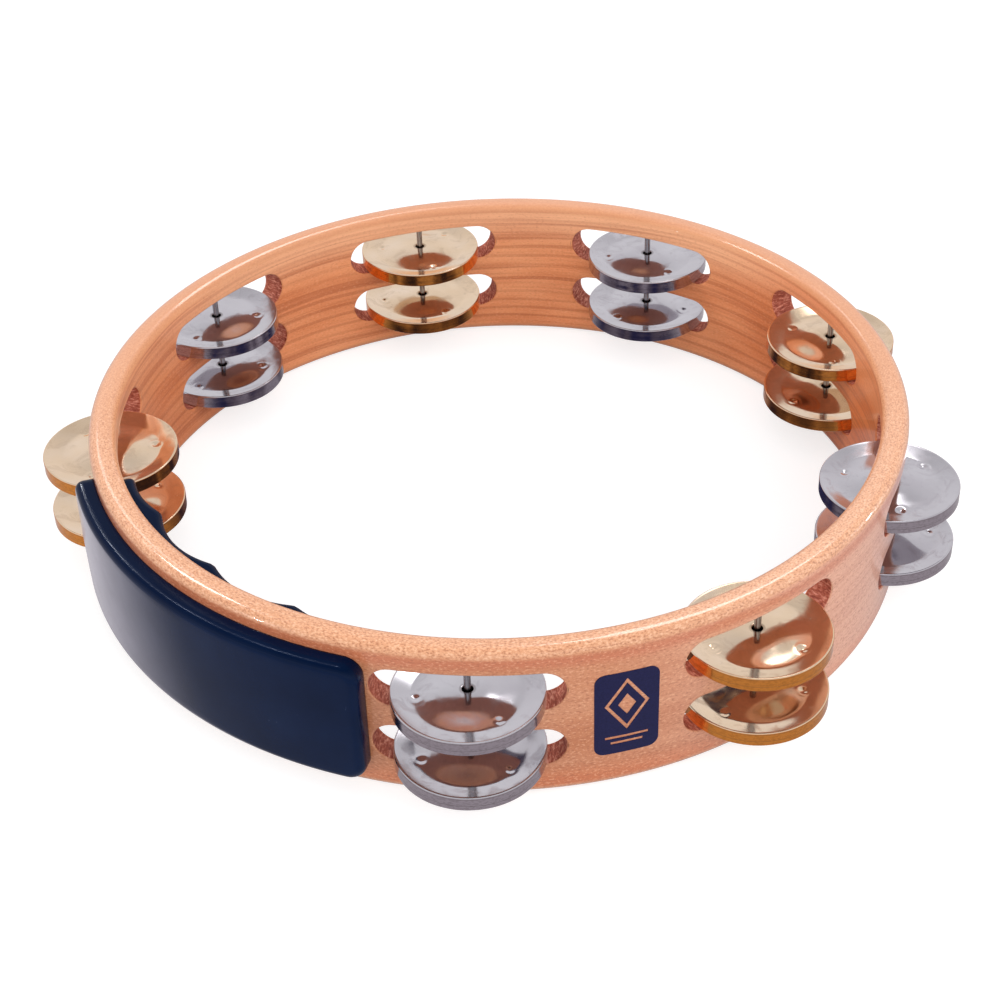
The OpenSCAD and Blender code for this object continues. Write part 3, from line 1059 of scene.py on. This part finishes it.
def build_world():
    """Pale surroundings, dimmer overhead."""
    world = bpy.data.worlds.new("studio")
    bpy.context.scene.world = world
    world.use_nodes = True
    world.node_tree.nodes.clear()
    graph = Graph(world.node_tree)
    greys = ((0.12, 0.80), (0.4, 0.84), (0.62, 0.76), (0.8, 0.60))  # height, brightness
    stops = [(0.0, (0.75, 0.73, 0.75, 1))]
    stops += [(height, (grey, grey, grey * 1.02, 1)) for height, grey in greys]
    stops.append((1.0, (0.8, 0.8, 0.82, 1)))
    sky = graph.ramp(graph.separate(graph.coords("Generated"))[2], stops)
    background = graph.node("ShaderNodeBackground", {0: sky, 1: 1.0}).outputs[0]
    graph.node("ShaderNodeOutputWorld", {0: background})


# ------------------------------------------------------------------ lights
# Azimuth is from the camera's direction, positive to its right; angles in degrees,
# lengths in metres, power in watts.
# name, azimuth, elevation, distance, width, height, power, starts of the names it lights
LAMPS = [
    # gloss along the varnished rims
    ("gloss_right", 156, 56, 1.4, 0.55, 0.38, 4.5, ("hoop_wood", "label")),
    ("gloss_left", 207, 41, 1.5, 0.22, 0.4, 0.9, ("hoop_wood", "label")),
    ("gloss_side", -112, 50, 1.4, 0.30, 0.34, 5.0, ("hoop_wood",)),
    # gloss_right again, smaller and dimmer, for the metal
    ("window_metal", 156, 56, 1.4, 0.46, 0.38, 2.6, ("disc", "pin")),
    # small low lamps for sparkle on the wood
    ("sparkle_left", 100, 5, 1.25, 0.05, 0.05, 1.4, ("hoop_wood",)),
    ("sparkle_right", -59, 5, 1.25, 0.05, 0.05, 1.4, ("hoop_wood",)),
]
# azimuth and elevation of a row of small lamps that draws a thin line on the pads' edges
PAD_LINE = [(-139, 27), (-128, 39), (-116, 51), (-101, 63), (-81, 74)]
LAMPS += [(f"pad_line_{i}", azimuth, elevation, 1.4, 0.05, 0.05, 2.6, ("outer_pad", "inner_pad"))
          for i, (azimuth, elevation) in enumerate(PAD_LINE)]
# broad fills, hidden from reflections: name, azimuth, elevation, power
FILLS = [("fill_front", 12, 30, 9.0), ("fill_right", 75, 34, 6.0), ("fill_left", -70, 40, 2.5)]


def area(name, azimuth, elevation, distance, width, height, power):
    """A soft light aimed at the middle of the hoop."""
    light = bpy.data.lights.new(name, "AREA")
    light.shape = "RECTANGLE"
    light.size = width
    light.size_y = height
    light.energy = power
    ob = bpy.data.objects.new(name, light)
    a, e = radians(-90 + CAMERA_TURN + azimuth), radians(elevation)
    place = Vector((math.cos(a) * math.cos(e), math.sin(a) * math.cos(e), math.sin(e))) * distance
    ob.location = place
    ob.rotation_mode = "QUATERNION"
    ob.rotation_quaternion = (Vector((0, 0, 0.02)) - place).to_track_quat("-Z", "Y")
    bpy.context.scene.collection.objects.link(ob)
    return ob


def light_only(light, starts):
    """Lets a light reach only the pieces whose names start like this."""
    lit = bpy.data.collections.new(light.name + "_on")
    for ob in list(bpy.data.objects):
        if ob.type == "MESH" and ob.name.startswith(starts):
            lit.objects.link(ob)
    light.light_linking.receiver_collection = lit


def soften_edges(light):
    """Makes a light's brightness fall off smoothly towards its edges."""
    light.use_nodes = True
    graph = Graph(light.node_tree)
    emission = [node for node in graph.tree.nodes if node.type == "EMISSION"][0]
    across = graph.separate(graph.geometry("Parametric"))
    falloff = []
    for k in (0, 1):
        off = graph.node("ShaderNodeMath", {0: across[k], 1: 0.5}, operation="SUBTRACT")
        off = graph.node("ShaderNodeMath", {0: off.outputs[0]}, operation="ABSOLUTE")
        falloff.append(graph.step(off.outputs[0], over=(0.05, 0.48), gives=(1.0, 0.0)))
    both = graph.node("ShaderNodeMath", dict(enumerate(falloff)), operation="MULTIPLY")
    graph.put(emission.inputs["Strength"], both.outputs[0])


def build_lights():
    for *settings, starts in LAMPS:
        light_only(area(*settings), starts)
    soften_edges(bpy.data.lights["window_metal"])
    for name, azimuth, elevation, power in FILLS:
        fill = area(name, azimuth, elevation, distance=1.7, width=1.1, height=1.1, power=power)
        fill.visible_glossy = False


# ------------------------------------------------------------------ camera
def build_camera():
    """Placed and aimed as if in front of -Y, then turned round the hoop."""
    distance, elevation = 643.3, radians(35.717)  # from a point on the axis
    centre_z = 18.167                             # height of that point
    pitch, yaw, roll = radians(36.463), radians(-0.039), radians(-1.886)
    place = Vector((0, -distance * math.cos(elevation),
                    distance * math.sin(elevation) + centre_z))
    forward = Vector((math.sin(yaw) * math.cos(pitch), math.cos(yaw) * math.cos(pitch),
                      -math.sin(pitch)))
    level = forward.cross(Vector((0, 0, 1))).normalized()
    upright = level.cross(forward)
    right = level * math.cos(roll) + upright * math.sin(roll)
    up = -level * math.sin(roll) + upright * math.cos(roll)
    turn = Matrix.Rotation(radians(CAMERA_TURN), 3, "Z")
    matrix = Matrix((turn @ right, turn @ up, -(turn @ forward))).transposed().to_4x4()
    matrix.translation = turn @ place * MM

    camera = bpy.data.cameras.new("camera")
    camera.sensor_width = 36.0
    camera.sensor_fit = "HORIZONTAL"
    camera.lens = 71.7768
    camera.clip_start, camera.clip_end = 0.01, 20.0
    ob = bpy.data.objects.new("camera", camera)
    ob.matrix_world = matrix
    bpy.context.scene.collection.objects.link(ob)
    bpy.context.scene.camera = ob


build_floor()
build_world()
build_lights()
build_camera()
bpy.context.scene.view_settings.view_transform = "Standard"
bpy.context.scene.view_settings.look = "None"
